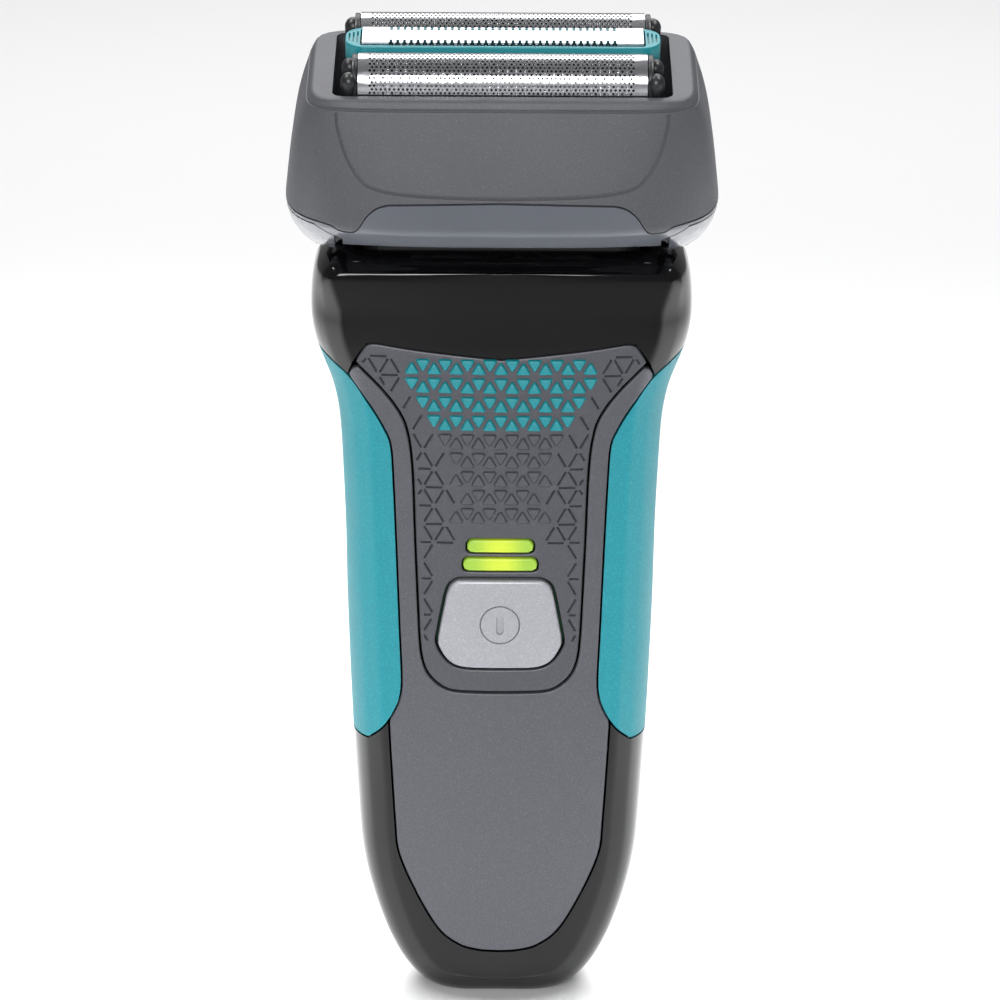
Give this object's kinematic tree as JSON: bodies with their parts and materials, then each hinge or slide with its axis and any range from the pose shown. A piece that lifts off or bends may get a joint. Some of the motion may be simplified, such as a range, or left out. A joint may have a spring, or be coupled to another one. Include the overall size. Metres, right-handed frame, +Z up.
{
  "type": "foil shaver",
  "caption": "Cordless foil shaver: tapered handle with rubber grips and a tilting head that carries sprung foils and a centre trimmer.",
  "frame": {"origin": "under the middle of the whole shaver, on the plane of its flat foot", "axes": "+Z up along the handle, +X across the width, -Y to the front with the button"},
  "size_m": [0.066, 0.038, 0.1565],
  "materials": {
    "gloss black ABS": "high gloss",
    "satin grey ABS": "satin with a fine metallic fleck",
    "textured insert": "satin, moulded triangles",
    "teal rubber": "soft touch with a fine fleck",
    "light pipe": "lit diffuser",
    "silver lacquer": "satin metallic lacquer",
    "black plastic": "moulded",
    "circuit board": "solder resist",
    "cell sleeve": "shrink sleeve",
    "contact brass": "plated",
    "steel": "bright",
    "foil steel": "polished, perforated",
    "white acetal": "moulded",
    "black rubber": "moulded",
    "gloss grey ABS": "high gloss",
    "matte grey ABS": "fine matte grain",
    "teal ABS": "moulded"
  },
  "bodies": {
    "handle": {"housing_front": "gloss black ABS", "housing_rear": "gloss black ABS", "front_fascia": "satin grey ABS", "texture_insert": "textured insert", "grip_left": "teal rubber", "grip_right": "teal rubber", "charge_light_upper": "light pipe", "charge_light_lower": "light pipe", "chassis": "black plastic", "circuit_board": "circuit board", "tact_switch": "black plastic", "battery_cell": "cell sleeve", "battery_contact_top": "contact brass", "battery_contact_bottom": "contact brass", "motor_case": "steel", "neck_deck": "black plastic", "shaft_seal": "black rubber", "pivot_bracket": "black plastic", "pivot_pin_left": "steel", "pivot_pin_right": "steel", "charging_socket": "black plastic", "socket_pin_left": "contact brass", "socket_pin_right": "contact brass", "housing_screw_lower_left": "steel", "housing_screw_lower_right": "steel", "housing_screw_upper_left": "steel", "housing_screw_upper_right": "steel"},
    "button": {"power_button": "silver lacquer"},
    "rotor": {"motor_shaft": "steel", "eccentric_cam": "white acetal"},
    "drive": {"drive_bridge": "white acetal", "drive_post": "steel"},
    "popup": {"popup_carrier": "black plastic", "popup_thumb_slide": "silver lacquer", "popup_comb": "steel"},
    "popup_cutter": {"popup_blade": "steel"},
    "head": {"head_base": "gloss grey ABS", "release_spring_left": "steel", "release_spring_right": "steel"},
    "release_left": {"release_button_left": "gloss grey ABS"},
    "release_right": {"release_button_right": "gloss grey ABS"},
    "frame": {"head_frame": "matte grey ABS"},
    "foil_unit_front": {"foil_front": "foil steel", "foil_frame_front": "black plastic"},
    "foil_unit_rear": {"foil_rear": "foil steel", "foil_frame_rear": "black plastic"},
    "trimmer": {"trimmer_frame": "teal ABS", "trimmer_comb": "foil steel"},
    "intercept": {"intercept_blade": "steel"},
    "oscillator": {"oscillator_yoke": "white acetal", "cutter_spring_front": "steel", "cutter_spring_rear": "steel"},
    "cutter_unit_front": {"cutter_front": "steel"},
    "cutter_unit_rear": {"cutter_rear": "steel"}
  },
  "joints": [
    {"name": "head_pivot", "type": "hinge", "parent": "handle", "child": "head", "pos_m": [0, 0.00201, 0.124], "axis": [1, 0, 0], "range_deg": [-6, 6], "stiffness_Nm_per_rad": 0.3},
    {"name": "frame_lift", "type": "slide", "parent": "head", "child": "frame", "axis": [0, -0.1736, 0.9848], "range_m": [0, 0.02]},
    {"name": "foil_front_float", "type": "slide", "parent": "frame", "child": "foil_unit_front", "axis": [0, -0.1736, 0.9848], "range_m": [-0.002, 0], "stiffness_N_per_m": 300, "springref_m": 0.001},
    {"name": "foil_rear_float", "type": "slide", "parent": "frame", "child": "foil_unit_rear", "axis": [0, -0.1736, 0.9848], "range_m": [-0.002, 0], "stiffness_N_per_m": 300, "springref_m": 0.001},
    {"name": "trimmer_float", "type": "slide", "parent": "frame", "child": "trimmer", "axis": [0, -0.1736, 0.9848], "range_m": [-0.0014, 0], "stiffness_N_per_m": 300, "springref_m": 0.001},
    {"name": "intercept_slide", "type": "slide", "parent": "trimmer", "child": "intercept", "axis": [1, 0, 0], "range_m": [-0.0012, 0.0012]},
    {"name": "drive_oscillation", "type": "slide", "parent": "handle", "child": "drive", "axis": [1, 0, 0], "range_m": [-0.0012, 0.0012], "stiffness_N_per_m": 500},
    {"name": "oscillator_slide", "type": "slide", "parent": "head", "child": "oscillator", "axis": [1, 0, 0], "range_m": [-0.0012, 0.0012]},
    {"name": "cutter_front_float", "type": "slide", "parent": "oscillator", "child": "cutter_unit_front", "axis": [0, -0.1736, 0.9848], "range_m": [-0.002, 0]},
    {"name": "cutter_rear_float", "type": "slide", "parent": "oscillator", "child": "cutter_unit_rear", "axis": [0, -0.1736, 0.9848], "range_m": [-0.002, 0]},
    {"name": "motor_spin", "type": "hinge", "parent": "handle", "child": "rotor", "pos_m": [0, 0.00201, 0.1], "axis": [0, 0, 1], "continuous": true},
    {"name": "button_press", "type": "slide", "parent": "handle", "child": "button", "axis": [0, 1, 0], "range_m": [0, 0.0005], "stiffness_N_per_m": 3000, "springref_m": -0.0003},
    {"name": "popup_slide", "type": "slide", "parent": "handle", "child": "popup", "axis": [0, 0, 1], "range_m": [0, 0.0045]},
    {"name": "popup_blade_slide", "type": "slide", "parent": "popup", "child": "popup_cutter", "axis": [1, 0, 0], "range_m": [-0.0008, 0.0008]},
    {"name": "release_left_press", "type": "slide", "parent": "head", "child": "release_left", "axis": [1, 0, 0], "range_m": [0, 0.001], "stiffness_N_per_m": 1500, "springref_m": -0.0003},
    {"name": "release_right_press", "type": "slide", "parent": "head", "child": "release_right", "axis": [-1, 0, 0], "range_m": [0, 0.001], "stiffness_N_per_m": 1500, "springref_m": -0.0003}
  ],
  "couplings": [
    {"joint": "oscillator_slide", "follows": "drive_oscillation", "ratio": 1},
    {"joint": "intercept_slide", "follows": "drive_oscillation", "ratio": 1},
    {"joint": "popup_blade_slide", "follows": "drive_oscillation", "ratio": 0.66},
    {"joint": "cutter_front_float", "follows": "foil_front_float", "ratio": 1},
    {"joint": "cutter_rear_float", "follows": "foil_rear_float", "ratio": 1}
  ]
}
